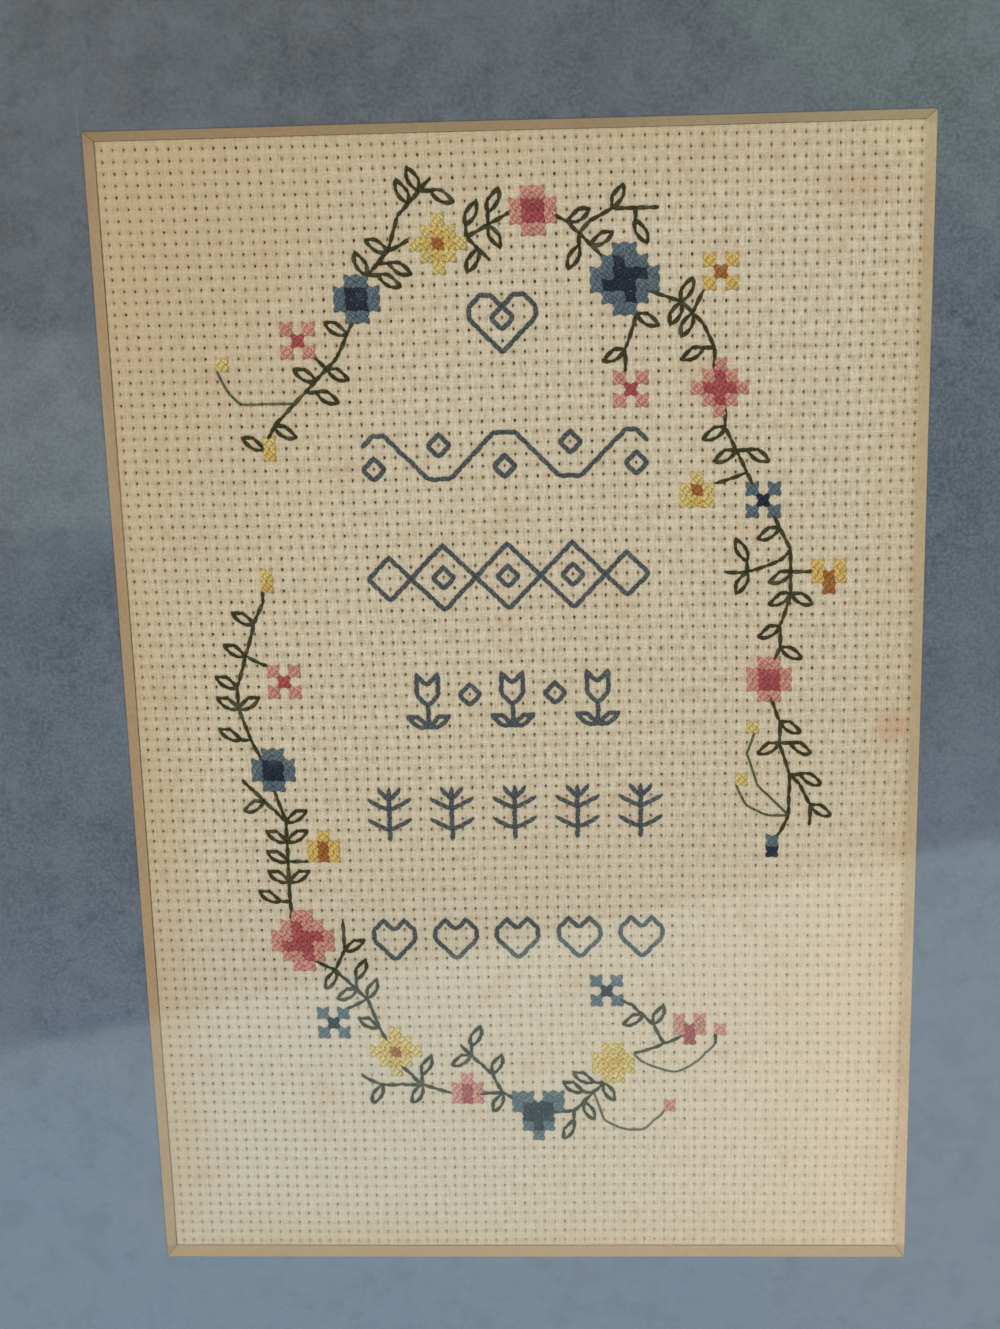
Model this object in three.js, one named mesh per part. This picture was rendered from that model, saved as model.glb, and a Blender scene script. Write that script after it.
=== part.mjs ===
// A framed cross stitch sampler, lying on its back with its face up.
//
// Millimetres, +Z up. X runs across the picture, to the right, and Y up the picture.
// The origin is the centre of the frame's back, on the surface that it lies on.
// From the back: backing board, embroidered cloth, mat board, glass, and the four rails' lip.

import * as THREE from 'three';

// Driving dimensions

const PANE_WIDTH = 203.2; // an 8 by 10 inch frame size
const PANE_HEIGHT = 254;

const GLASS_THICKNESS = 2;
const MAT_THICKNESS = 1.4; // four-ply mat board
const CLOTH_THICKNESS = 1;
const BACKING_THICKNESS = 3;
const LAYER_GAP = 0.3; // between each layer and the next

const WINDOW_WIDTH = 115.6; // the mat's window at the foot of its bevel
const WINDOW_HEIGHT = 173;
const CLOTH_MARGIN = 25; // how far the cloth reaches under the mat

const RAIL_WIDTH = 20;
const RAIL_DEPTH = 15;
const REBATE_WIDTH = 6;
const REBATE_DEPTH = 9.5;
const PANE_CLEARANCE = 0.6; // between the pane's edge and the rebate's wall
const FRONT_OUTER_RADIUS = 3;
const FRONT_SIGHT_RADIUS = 2;
const ARC_SEGMENTS = 6;

// Heights of the layers, worked out from the lip down

const glassTop = REBATE_DEPTH - LAYER_GAP;
const glassBase = glassTop - GLASS_THICKNESS;
const matBase = glassBase - LAYER_GAP - MAT_THICKNESS;
const clothBase = matBase - LAYER_GAP - CLOTH_THICKNESS;
const backingBase = clothBase - LAYER_GAP - BACKING_THICKNESS;

// The sight edge is the inner edge of the rails' lip

const sightHalfWidth = PANE_WIDTH / 2 + PANE_CLEARANCE - REBATE_WIDTH;
const sightHalfHeight = PANE_HEIGHT / 2 + PANE_CLEARANCE - REBATE_WIDTH;

// Finishes

const walnut = { color: 0x5a3b24, roughness: 0.45, metalness: 0 };
const clearGlass = { color: 0xe8f0f0, roughness: 0.05, metalness: 0, transparent: true, opacity: 0.3 };
const bluePaper = { color: 0x7585a0, roughness: 0.9, metalness: 0 };
const creamAida = { color: 0xd9cbae, roughness: 0.95, metalness: 0 };
const brownBoard = { color: 0x6f5540, roughness: 0.85, metalness: 0 };

function makeNode(name, geometry, finish) {
  const node = new THREE.Mesh(geometry, new THREE.MeshStandardMaterial(finish));
  node.name = name;
  return node;
}

// The rail's section: u runs outwards from the sight edge and v up from the back.
function railSection() {
  const section = new THREE.Shape();
  section.moveTo(REBATE_WIDTH, 0);
  section.lineTo(RAIL_WIDTH, 0);
  section.absarc(
    RAIL_WIDTH - FRONT_OUTER_RADIUS, RAIL_DEPTH - FRONT_OUTER_RADIUS,
    FRONT_OUTER_RADIUS, 0, Math.PI / 2, false,
  );
  section.absarc(
    FRONT_SIGHT_RADIUS, RAIL_DEPTH - FRONT_SIGHT_RADIUS,
    FRONT_SIGHT_RADIUS, Math.PI / 2, Math.PI, false,
  );
  section.lineTo(0, REBATE_DEPTH);
  section.lineTo(REBATE_WIDTH, REBATE_DEPTH);
  section.closePath();
  return section;
}

// One rail along X on the picture's far side, mitred at both ends, then turned into its place.
// sightHalfLength is half the rail's sight edge, and sightDistance how far that edge is from the middle.
function makeRail(name, sightHalfLength, sightDistance, turn) {
  const geometry = new THREE.ExtrudeGeometry(railSection(), {
    depth: 1,
    bevelEnabled: false,
    curveSegments: ARC_SEGMENTS,
  });
  const cos = Math.round(Math.cos(turn));
  const sin = Math.round(Math.sin(turn));
  const corners = geometry.attributes.position;
  for (let i = 0; i < corners.count; i += 1) {
    const u = corners.getX(i);
    const v = corners.getY(i);
    const end = corners.getZ(i) > 0.5 ? 1 : -1;
    const along = end * (sightHalfLength + u);
    const out = sightDistance + u;
    corners.setXYZ(i, along * cos - out * sin, along * sin + out * cos, v);
  }
  geometry.computeVertexNormals();
  return makeNode(name, geometry, walnut);
}

// A flat rectangular layer of the stack
function makeLayer(name, width, height, thickness, base, finish) {
  const layer = makeNode(name, new THREE.BoxGeometry(width, height, thickness), finish);
  layer.position.z = base + thickness / 2;
  return layer;
}

function rectanglePath(path, width, height) {
  path.moveTo(-width / 2, -height / 2);
  path.lineTo(width / 2, -height / 2);
  path.lineTo(width / 2, height / 2);
  path.lineTo(-width / 2, height / 2);
  path.closePath();
  return path;
}

// The mat: its window is cut at 45 degrees, so the front of the cut is wider by the board's thickness.
function makeMat() {
  const board = rectanglePath(new THREE.Shape(), PANE_WIDTH, PANE_HEIGHT);
  board.holes.push(rectanglePath(new THREE.Path(), WINDOW_WIDTH, WINDOW_HEIGHT));
  const geometry = new THREE.ExtrudeGeometry(board, { depth: MAT_THICKNESS, bevelEnabled: false });
  const corners = geometry.attributes.position;
  for (let i = 0; i < corners.count; i += 1) {
    const x = corners.getX(i);
    const y = corners.getY(i);
    const onWindow = Math.abs(x) < PANE_WIDTH / 2 - 1;
    const onFront = corners.getZ(i) > MAT_THICKNESS / 2;
    if (onWindow && onFront) {
      corners.setX(i, x + Math.sign(x) * MAT_THICKNESS);
      corners.setY(i, y + Math.sign(y) * MAT_THICKNESS);
    }
  }
  geometry.computeVertexNormals();
  const mat = makeNode('mat_board', geometry, bluePaper);
  mat.position.z = matBase;
  return mat;
}

const sampler = new THREE.Group();

sampler.add(makeRail('rail_top', sightHalfWidth, sightHalfHeight, 0));
sampler.add(makeRail('rail_left', sightHalfHeight, sightHalfWidth, Math.PI / 2));
sampler.add(makeRail('rail_bottom', sightHalfWidth, sightHalfHeight, Math.PI));
sampler.add(makeRail('rail_right', sightHalfHeight, sightHalfWidth, -Math.PI / 2));

const clothWidth = WINDOW_WIDTH + 2 * CLOTH_MARGIN;
const clothHeight = WINDOW_HEIGHT + 2 * CLOTH_MARGIN;

sampler.add(makeLayer('glazing', PANE_WIDTH, PANE_HEIGHT, GLASS_THICKNESS, glassBase, clearGlass));
sampler.add(makeMat());
sampler.add(makeLayer('embroidered_cloth', clothWidth, clothHeight, CLOTH_THICKNESS, clothBase, creamAida));
sampler.add(makeLayer('backing_board', PANE_WIDTH, PANE_HEIGHT, BACKING_THICKNESS, backingBase, brownBoard));

export default sampler;
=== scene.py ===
"""A framed cross stitch sampler: counted stitches on Aida cloth, in a blue mat behind glass."""

import logging
import math
import random
from abc import ABC, abstractmethod
from collections.abc import Iterable, Sequence
from dataclasses import dataclass, field
from enum import Enum

import bpy
import numpy as np
from mathutils import Matrix, Quaternion, Vector


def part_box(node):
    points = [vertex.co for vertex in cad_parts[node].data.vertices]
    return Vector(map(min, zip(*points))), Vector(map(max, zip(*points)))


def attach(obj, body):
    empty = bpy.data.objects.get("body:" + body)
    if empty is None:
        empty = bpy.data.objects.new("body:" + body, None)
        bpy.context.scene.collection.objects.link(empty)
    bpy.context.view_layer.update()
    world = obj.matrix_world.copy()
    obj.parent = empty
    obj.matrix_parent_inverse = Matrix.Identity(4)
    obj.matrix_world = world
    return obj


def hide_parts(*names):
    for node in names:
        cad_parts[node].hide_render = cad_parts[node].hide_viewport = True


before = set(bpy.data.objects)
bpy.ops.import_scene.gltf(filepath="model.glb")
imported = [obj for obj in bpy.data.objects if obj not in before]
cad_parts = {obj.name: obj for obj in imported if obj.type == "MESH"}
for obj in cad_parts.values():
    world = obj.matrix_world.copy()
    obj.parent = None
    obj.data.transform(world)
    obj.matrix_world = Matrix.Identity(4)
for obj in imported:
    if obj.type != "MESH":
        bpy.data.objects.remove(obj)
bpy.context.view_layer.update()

log = logging.getLogger("sampler")

MM = 0.001
BODY = "root"

# The picture's height in pixels, the unit that the camera's focal length is given in
IMAGE_HEIGHT = 1329

Point = tuple[float, float]
Colour = tuple[float, float, float]
Hole = tuple[int, int]


def from_screen(red: int, green: int, blue: int) -> Colour:
    """Turns a screen colour into the linear one that shaders take.

    Args:
        red: the red level, 0 to 255.
        green: the green level, 0 to 255.
        blue: the blue level, 0 to 255.

    Returns:
        The linear colour.
    """
    levels = (level / 255 for level in (red, green, blue))
    return tuple(v / 12.92 if v <= 0.04045 else ((v + 0.055) / 1.055) ** 2.4 for v in levels)


# Shader values


class Value:
    """A number that varies over a surface, on which sums are written as Python expressions."""

    def __init__(self, bench: "Bench", socket: bpy.types.NodeSocket) -> None:
        """Wraps an output socket of the bench's tree."""
        self.bench = bench
        self.socket = socket

    def _math(self, operation: str, *terms: "Value | float", clamp: bool = False) -> "Value":
        """Adds one Math node.

        Args:
            operation: the Math node's operation.
            terms: its inputs, in order.
            clamp: whether the result is kept between 0 and 1.

        Returns:
            The node's result.
        """
        settings = {"operation": operation, "use_clamp": clamp}
        made = self.bench.node("ShaderNodeMath", settings, dict(enumerate(terms)))
        return Value(self.bench, made.outputs[0])

    def __add__(self, other: "Value | float") -> "Value":
        """Adds."""
        return self._math("ADD", self, other)

    def __radd__(self, other: float) -> "Value":
        """Adds, with the number first."""
        return self._math("ADD", other, self)

    def __sub__(self, other: "Value | float") -> "Value":
        """Takes away."""
        return self._math("SUBTRACT", self, other)

    def __rsub__(self, other: float) -> "Value":
        """Takes this value away from a number."""
        return self._math("SUBTRACT", other, self)

    def __mul__(self, other: "Value | float") -> "Value":
        """Multiplies."""
        return self._math("MULTIPLY", self, other)

    def __rmul__(self, other: float) -> "Value":
        """Multiplies, with the number first."""
        return self._math("MULTIPLY", other, self)

    def __truediv__(self, other: "Value | float") -> "Value":
        """Divides."""
        return self._math("DIVIDE", self, other)

    def __pow__(self, power: float) -> "Value":
        """Raises to a power."""
        return self._math("POWER", self, power)

    def absolute(self) -> "Value":
        """Returns the size of the value, without its sign."""
        return self._math("ABSOLUTE", self)

    def fraction(self) -> "Value":
        """Returns what is left above the whole number below."""
        return self._math("FRACT", self)

    def sine(self) -> "Value":
        """Returns the sine of the value, in radians."""
        return self._math("SINE", self)

    def least(self, other: "Value | float") -> "Value":
        """Returns the smaller of two."""
        return self._math("MINIMUM", self, other)

    def most(self, other: "Value | float") -> "Value":
        """Returns the larger of two."""
        return self._math("MAXIMUM", self, other)

    def between(self, low: float, high: float) -> "Value":
        """Rises smoothly from 0 to 1 as the value goes from low to high.

        Args:
            low: where the result is 0.
            high: where the result is 1, which may lie below low.

        Returns:
            The smooth step.
        """
        inputs = {"Value": self, "From Min": low, "From Max": high}
        made = self.bench.node("ShaderNodeMapRange", {"interpolation_type": "SMOOTHSTEP"}, inputs)
        return Value(self.bench, made.outputs["Result"])


class Bench:
    """One material's node tree, and the short ways to add to it."""

    def __init__(self, name: str) -> None:
        """Starts an empty material of the name."""
        self.material = bpy.data.materials.new(name)
        self.material.use_nodes = True
        self.tree = self.material.node_tree
        self.tree.nodes.clear()

    def node(self, kind: str, settings: dict | None = None, inputs: dict | None = None) -> bpy.types.Node:
        """Adds any node.

        Args:
            kind: the node's type.
            settings: its properties, set before its sockets.
            inputs: what each input takes, by name or number: a number, a colour or a link.

        Returns:
            The node.
        """
        made = self.tree.nodes.new(kind)
        for name, setting in (settings or {}).items():
            setattr(made, name, setting)
        for name, given in (inputs or {}).items():
            source = given.socket if isinstance(given, Value) else given
            if isinstance(source, bpy.types.NodeSocket):
                self.tree.links.new(source, made.inputs[name])
            else:
                made.inputs[name].default_value = source
        return made

    def place(self) -> bpy.types.NodeSocket:
        """Returns the point on the piece, in metres."""
        return self.node("ShaderNodeTexCoord").outputs["Object"]

    def chart(self, layer: str) -> bpy.types.NodeSocket:
        """Returns the point on one of the mesh's own UV layers."""
        return self.node("ShaderNodeUVMap", {"uv_map": layer}).outputs["UV"]

    def axes(self, vector: bpy.types.NodeSocket) -> tuple[Value, Value, Value]:
        """Splits a vector into its three parts."""
        parts = self.node("ShaderNodeSeparateXYZ", inputs={"Vector": vector}).outputs
        return Value(self, parts[0]), Value(self, parts[1]), Value(self, parts[2])

    def stretched(self, vector: bpy.types.NodeSocket, scale: Colour) -> bpy.types.NodeSocket:
        """Returns a vector with each part multiplied by its own number."""
        settings = {"operation": "MULTIPLY"}
        return self.node("ShaderNodeVectorMath", settings, {0: vector, 1: scale}).outputs[0]

    def noise(self, vector: bpy.types.NodeSocket, scale: float, detail: float = 2.0,
              roughness: float = 0.5) -> Value:
        """Adds cloud-like noise.

        Args:
            vector: where it is read.
            scale: how many clouds to one unit of the vector.
            detail: how many finer layers lie on it.
            roughness: how strong those finer layers are.

        Returns:
            The noise, about 0.5.
        """
        inputs = {"Vector": vector, "Scale": scale, "Detail": detail, "Roughness": roughness}
        return Value(self, self.node("ShaderNodeTexNoise", inputs=inputs).outputs["Fac"])

    def blend(self, amount: Value | float, first: object, second: object) -> bpy.types.NodeSocket:
        """Mixes two colours.

        Args:
            amount: how much of the second shows.
            first: a colour, or the socket of one.
            second: a colour, or the socket of one.

        Returns:
            The mixed colour.
        """
        settings = {"data_type": "RGBA", "clamp_factor": True}
        slots = {0: amount}
        for index, colour in ((6, first), (7, second)):
            slots[index] = colour if isinstance(colour, bpy.types.NodeSocket) else (*colour, 1.0)
        return self.node("ShaderNodeMix", settings, slots).outputs[2]

    def relief(self, height: Value, depth: float) -> bpy.types.NodeSocket:
        """Turns a height of 0 to 1 into a normal, where 1 stands for a depth in metres."""
        inputs = {"Height": height, "Distance": depth, "Strength": 1.0}
        return self.node("ShaderNodeBump", inputs=inputs).outputs["Normal"]

    def surface(self, colour: object, roughness: Value | float, normal: bpy.types.NodeSocket | None = None,
                **fixed: float) -> bpy.types.Material:
        """Ends the material in one Principled shader.

        Args:
            colour: the base colour, or its socket.
            roughness: the roughness.
            normal: the normal, where the surface has relief.
            fixed: further inputs that are the same all over, with _ for each space in their names.

        Returns:
            The finished material.
        """
        base = colour if isinstance(colour, bpy.types.NodeSocket) else (*colour, 1.0)
        inputs: dict = {"Base Color": base, "Roughness": roughness}
        if normal is not None:
            inputs["Normal"] = normal
        for name, number in fixed.items():
            inputs[name.replace("_", " ")] = number
        shader = self.node("ShaderNodeBsdfPrincipled", inputs=inputs)
        return self.output(shader.outputs[0])

    def output(self, shader: bpy.types.NodeSocket) -> bpy.types.Material:
        """Sends a shader to the material's output and returns the material."""
        self.node("ShaderNodeOutputMaterial", inputs={"Surface": shader})
        return self.material


# The cloth's grid


@dataclass(frozen=True)
class Grid:
    """The cloth's holes, which every stitch keeps to, counted from the window's top left corner."""

    pitch: float = 1.5875 * MM
    row_pitch: float = 1.629 * MM
    window_width: float = 115.6 * MM
    window_height: float = 173.0 * MM
    inset: Point = (0.68, 0.8)
    tilt: float = math.radians(-0.12)
    drift: float = 0.11 * MM
    drift_length: float = 61.0 * MM

    @property
    def columns(self) -> float:
        """How many squares lie across the window."""
        return self.window_width / self.pitch

    @property
    def rows(self) -> float:
        """How many squares lie down the window."""
        return self.window_height / self.row_pitch

    def point(self, column: float, row: float) -> Point:
        """Gives where a place on the grid lies, with the weave's slight tilt and slow drift.

        Args:
            column: squares from the window's left edge.
            row: squares down from the window's top edge.

        Returns:
            Its X and Y, in metres.
        """
        x = (column + self.inset[0]) * self.pitch - self.window_width / 2
        y = self.window_height / 2 - (row + self.inset[1]) * self.row_pitch
        turn = 2 * math.pi / self.drift_length
        across = self.drift * math.sin(y * turn + 1.1) + self.tilt * y
        up = self.drift * math.sin(x * turn * 0.83 + 0.4) - self.tilt * x
        return x + across, y + up


# Finishes


@dataclass(frozen=True)
class AidaCotton:
    """Cream Aida cotton, browned at the mat's edge and lightly foxed."""

    cream: Colour = from_screen(208, 189, 160)
    pale: Colour = from_screen(243, 227, 204)
    blush: Colour = from_screen(234, 206, 182)
    straw: Colour = from_screen(224, 214, 176)
    # Real browning near the mat's edge, and painted warm light toward the top left
    browned_and_warm_lit: Colour = from_screen(206, 170, 124)
    # Painted cool light toward the bottom
    cool_light_cream: Colour = from_screen(214, 202, 189)
    # Painted warm light toward the lower right
    warm_light_peach: Colour = from_screen(249, 216, 188)
    hole_shade: Colour = from_screen(172, 150, 116)
    foxing: Colour = from_screen(208, 158, 122)
    threads: float = 4.0
    relief: float = 0.09 * MM
    # Each brown mark's column, row, narrowing across, outer and inner radius in squares, and strength
    marks: tuple[tuple[float, ...], ...] = (
        (70.6, 52.5, 1.0, 2.6, 0.3, 0.5),
        (66.5, 4.6, 0.6, 3.2, 0.4, 0.3),
    )

    def material(self, grid: Grid) -> bpy.types.Material:
        """Builds the cloth's material.

        Args:
            grid: the grid that the cloth's UV layer counts.

        Returns:
            The material.
        """
        bench = Bench("aida_cotton")
        chart = bench.chart("weave")
        u, v, _ = bench.axes(chart)
        from_column, from_row = (((axis + 0.5).fraction() - 0.5).absolute() for axis in (u, v))
        warp = bench.noise(bench.stretched(chart, (self.threads, 0.7, 1.0)), 1.0, 1.0)
        weft = bench.noise(bench.stretched(chart, (0.7, self.threads, 1.0)), 1.0, 1.0)
        on_warp = from_row.between(0.34, 0.22) * 0.5 + 0.5
        tone = warp * on_warp + weft * (1.0 - on_warp)
        lint = bench.noise(chart, 5.5, 3.0, 0.75)
        blush = bench.noise(chart, 0.8, 2.0, 0.6)
        colour = bench.blend((tone * 0.65 + lint * 0.65).between(0.47, 0.81), self.cream, self.pale)
        colour = bench.blend(blush.between(0.5, 0.75) * 0.35, colour, self.blush)
        colour = bench.blend(blush.between(0.5, 0.25) * 0.25, colour, self.straw)
        # Painted cool light: a cooler cream toward the bottom, less of it toward the lower right
        low_down = (v + u * 0.2).between(58.0, 88.0)
        low_right = low_down * u / grid.columns
        colour = bench.blend(low_down * 0.6 - low_right * 0.5, colour, self.cool_light_cream)
        # Painted warm peach light toward the lower right
        colour = bench.blend(low_right ** 3.0 * 0.55, colour, self.warm_light_peach)
        near_hole = from_column.between(0.2, 0.09) * from_row.between(0.26, 0.13)
        colour = bench.blend(near_hole * (0.55 - low_right * 0.3), colour, self.hole_shade)
        furrow = from_row.between(0.14, 0.02) * 0.22 + from_column.between(0.12, 0.02) * 0.12
        colour = bench.blend(furrow * (1.0 - low_right * 0.5), colour, self.hole_shade)
        clouds = bench.noise(chart, 0.09, 3.0, 0.6)
        # Painted warm light toward the top left, with real browning near the mat's edge, in one colour
        top_left = ((u + v * 0.6) / 46.0).between(1.0, 0.0)
        edge = u.least(v * 0.8).least(grid.columns - u).least(grid.rows - v)
        browning = (edge + clouds * 7.0).between(10.5, 2.0) * (0.42 - u / grid.columns * 0.16)
        colour = bench.blend(browning.most(top_left * 0.56), colour, self.browned_and_warm_lit)
        spots = bench.noise(chart, 0.16, 2.0, 0.5).between(0.58, 0.74) * 0.2
        for column, row, narrow, edge, full, strength in self.marks:
            away = (((u - column) * narrow) ** 2.0 + (v - row) ** 2.0) ** 0.5
            spots = spots.most(away.between(edge, full) * strength)
        colour = bench.blend(spots, colour, self.foxing)
        turn = self.threads * math.pi
        threads = (u * turn).sine() ** 2.0 * on_warp + (v * turn).sine() ** 2.0 * (1.0 - on_warp)
        normal = bench.relief(threads * 0.6 + lint * 0.4, self.relief)
        return bench.surface(colour, 0.92, normal, Sheen_Weight=0.15, Specular_IOR_Level=0.2)


class Floss(Enum):
    """The colours of stranded cotton that the sampler is stitched in."""

    ROSE_LIGHT = from_screen(228, 160, 147)
    ROSE_DARK = from_screen(191, 86, 90)
    NAVY = from_screen(30, 44, 66)
    BLUE = from_screen(104, 122, 134)
    YELLOW = from_screen(236, 212, 134)
    GOLD = from_screen(238, 200, 114)
    RUST = from_screen(184, 112, 42)
    OLIVE = from_screen(70, 63, 18)
    SAGE = from_screen(104, 108, 76)
    SLATE = from_screen(97, 102, 107)

    @property
    def piece_name(self) -> str:
        """The name of the piece that holds this colour's stitches."""
        return f"floss_{self.name.lower()}"


@dataclass(frozen=True)
class FlossCotton:
    """Stranded cotton floss, softly sheened, with its twist and a little fading."""

    turns: float = 5.0
    faded: Colour = from_screen(214, 204, 184)

    def material(self, colour: Floss) -> bpy.types.Material:
        """Builds the material of one colour.

        Args:
            colour: the floss.

        Returns:
            The material.
        """
        bench = Bench(f"{colour.piece_name}_cotton")
        along, around, _ = bench.axes(bench.chart("strand"))
        twist = ((along * self.turns + around) * (2 * math.pi)).sine() * 0.5 + 0.5
        fibres = bench.noise(bench.place(), 5200.0, 2.0)
        patches = bench.noise(bench.place(), 480.0, 2.0)
        # Painted shade and highlight: dark and light copies of the colour, mixed by the fibres and the
        # twist's grooves, over a random tone
        dark = tuple(part * 0.5 for part in colour.value)
        light = tuple(part * 1.15 + 0.01 * pale for part, pale in zip(colour.value, self.faded))
        tint = bench.blend((fibres * 0.7 + twist * 0.3).between(0.2, 0.78), dark, light)
        tint = bench.blend(patches.between(0.5, 0.3) * 0.3, tint, dark)
        tint = bench.blend(patches.between(0.5, 0.75) * 0.1, tint, self.faded)
        normal = bench.relief(twist * 0.7 + fibres * 0.3, 0.05 * MM)
        return bench.surface(tint, 0.72, normal, Specular_IOR_Level=0.25)


@dataclass(frozen=True)
class MatPaper:
    """The mat's blue-grey facing paper, finely mottled, with the knife's overcuts at three corners."""

    blue: Colour = from_screen(103, 111, 124)
    dark: Colour = from_screen(76, 84, 97)
    light: Colour = from_screen(128, 136, 148)
    # Painted warm light toward the top left
    warm_light_grey: Colour = from_screen(108, 105, 104)
    # Painted cool light toward the bottom
    cool_light_blue: Colour = from_screen(126, 139, 169)
    # Painted warm light toward the lower right
    warm_light_slate: Colour = from_screen(134, 135, 152)
    # Where each overcut is, along X and Y, and how strongly it shows
    overcuts: tuple[tuple[float, float, float], ...] = (
        (-59.5 * MM, 89.6 * MM, 0.55),
        (-59.3 * MM, -90.0 * MM, 0.2),
        (59.3 * MM, -90.2 * MM, 0.3),
    )

    def material(self) -> bpy.types.Material:
        """Returns the paper's material."""
        bench = Bench("mat_paper")
        place = bench.place()
        fibres = bench.noise(place, 1900.0, 2.0, 0.65)
        flecks = bench.noise(place, 620.0, 2.0, 0.6)
        mottle = bench.noise(place, 190.0, 2.0, 0.6)
        clouds = bench.noise(place, 46.0, 2.0, 0.55)
        colour = bench.blend(fibres.between(0.33, 0.67), self.dark, self.light)
        colour = bench.blend(0.5, colour, self.blue)
        x, y, _ = bench.axes(place)
        # Painted warm light: greyer and warmer toward the top left
        toward_top_left = (y - x * 0.5).between(20 * MM, 150 * MM)
        colour = bench.blend(toward_top_left * 0.6, colour, self.warm_light_grey)
        # Painted cool light toward the bottom, painted warm light toward the lower right, and fewer dark
        # flecks there
        low_down = y.between(-10 * MM, -80 * MM).most((y - x * 0.25).between(5 * MM, -80 * MM))
        colour = bench.blend(low_down * 0.7, colour, self.cool_light_blue)
        colour = bench.blend(low_down * x.between(20 * MM, 80 * MM) * 0.5, colour, self.warm_light_slate)
        colour = bench.blend(flecks.between(0.54, 0.7) * (0.5 - low_down * 0.35), colour, self.dark)
        colour = bench.blend(mottle.between(0.5, 0.68) * 0.2, colour, self.dark)
        colour = bench.blend(mottle.between(0.5, 0.34) * 0.25, colour, self.light)
        colour = bench.blend(clouds.between(0.35, 0.7) * 0.3, colour, self.light)
        for across, up, strength in self.overcuts:
            on_line = (x - across).absolute().between(0.18 * MM, 0.05 * MM)
            on_length = (y - up).absolute().between(2.6 * MM, 1.6 * MM)
            colour = bench.blend(on_line * on_length * strength, colour, self.light)
        normal = bench.relief(fibres, 0.04 * MM)
        return bench.surface(colour, 0.88, normal, Specular_IOR_Level=0.25)


@dataclass(frozen=True)
class MatCore:
    """The mat's cut core, cream gone tan, with the faint plies that the cut shows."""

    cream: Colour = from_screen(218, 198, 167)
    tan: Colour = from_screen(212, 180, 145)
    dark: Colour = from_screen(176, 147, 109)
    # Painted warm light toward the lower right
    warm_light_peach: Colour = from_screen(250, 212, 178)
    crease: Colour = from_screen(122, 92, 60)
    board: float = 1.4 * MM
    plies: float = 5.0
    # How much farther from the middle a mitre lies along Y than along X
    mitre: float = 28.7 * MM
    # Where, along Y, the painted shade on the top and bottom bevels begins, and where it is full
    ends: Point = (85.5 * MM, 86.4 * MM)

    def material(self) -> bpy.types.Material:
        """Returns the core's material."""
        bench = Bench("mat_core")
        place = bench.place()
        x, y, z = bench.axes(place)
        wander = bench.noise(place, 320.0, 2.0)
        plies = ((z / self.board * self.plies + wander * 0.8) * (2 * math.pi)).sine() * 0.5 + 0.5
        grain = bench.noise(place, 1500.0, 3.0, 0.6)
        clouds = bench.noise(place, 60.0, 2.0)
        # Tanner toward the left and creamier toward the right, with painted warm light toward the lower
        # right
        tone_and_warm_light = bench.blend(x.between(-45 * MM, 55 * MM), self.tan, self.cream)
        tone_and_warm_light = bench.blend((x - y).between(60 * MM, 145 * MM) * 0.6, tone_and_warm_light, self.warm_light_peach)
        colour = bench.blend(plies * 0.22 + grain.between(0.35, 0.75) * 0.3, tone_and_warm_light, self.dark)
        colour = bench.blend(clouds.between(0.45, 0.75) * 0.3, colour, self.dark)
        # Painted shade: the top bevel a little darker, the bottom bevel more
        begin, end = self.ends
        shaded_top_and_bottom = y.between(begin, end) * 0.3 + y.between(-begin, -end) * 0.6
        colour = bench.blend(shaded_top_and_bottom, colour, self.dark)
        from_mitre = (y.absolute() - x.absolute() - self.mitre).absolute()
        colour = bench.blend(from_mitre.between(0.16 * MM, 0.04 * MM) * 0.6, colour, self.crease)
        normal = bench.relief(plies * 0.4 + grain * 0.6, 0.04 * MM)
        return bench.surface(colour, 0.9, normal, Specular_IOR_Level=0.2)


class Grain(Enum):
    """Which way a piece of wood's grain runs: how far its figure is drawn out along X, Y and Z."""

    ACROSS = (0.045, 1.0, 1.0)
    UP = (1.0, 0.045, 1.0)


@dataclass(frozen=True)
class WalnutStain:
    """Wood stained walnut brown under a satin varnish."""

    light: Colour = from_screen(124, 84, 54)
    dark: Colour = from_screen(70, 43, 26)

    def material(self, grain: Grain) -> bpy.types.Material:
        """Builds the wood's material.

        Args:
            grain: which way the grain runs.

        Returns:
            The material.
        """
        bench = Bench(f"walnut_{grain.name.lower()}")
        drawn = bench.stretched(bench.place(), grain.value)
        figure = bench.noise(drawn, 150.0, 4.0, 0.6)
        bands = ((figure * 9.0) * math.pi).sine() * 0.5 + 0.5
        pores = bench.noise(drawn, 1400.0, 3.0, 0.7)
        colour = bench.blend(bands * 0.55 + pores.between(0.4, 0.7) * 0.35, self.light, self.dark)
        height = pores * 0.7 + bands * 0.3
        normal = bench.relief(height, 0.06 * MM)
        return bench.surface(colour, 0.36 + pores * 0.2, normal, Coat_Weight=0.25, Coat_Roughness=0.25)


@dataclass(frozen=True)
class BrownBoard:
    """Plain brown backing board, with pressed fibres."""

    brown: Colour = from_screen(132, 102, 76)
    dark: Colour = from_screen(96, 72, 52)

    def material(self) -> bpy.types.Material:
        """Returns the board's material."""
        bench = Bench("brown_board")
        place = bench.place()
        fibres = bench.noise(bench.stretched(place, (1.0, 0.35, 1.0)), 1200.0, 4.0, 0.7)
        clouds = bench.noise(place, 30.0, 3.0)
        colour = bench.blend(fibres.between(0.35, 0.7), self.brown, self.dark)
        colour = bench.blend(clouds.between(0.4, 0.7) * 0.3, colour, self.dark)
        return bench.surface(colour, 0.85, bench.relief(fibres, 0.08 * MM), Specular_IOR_Level=0.2)


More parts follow.
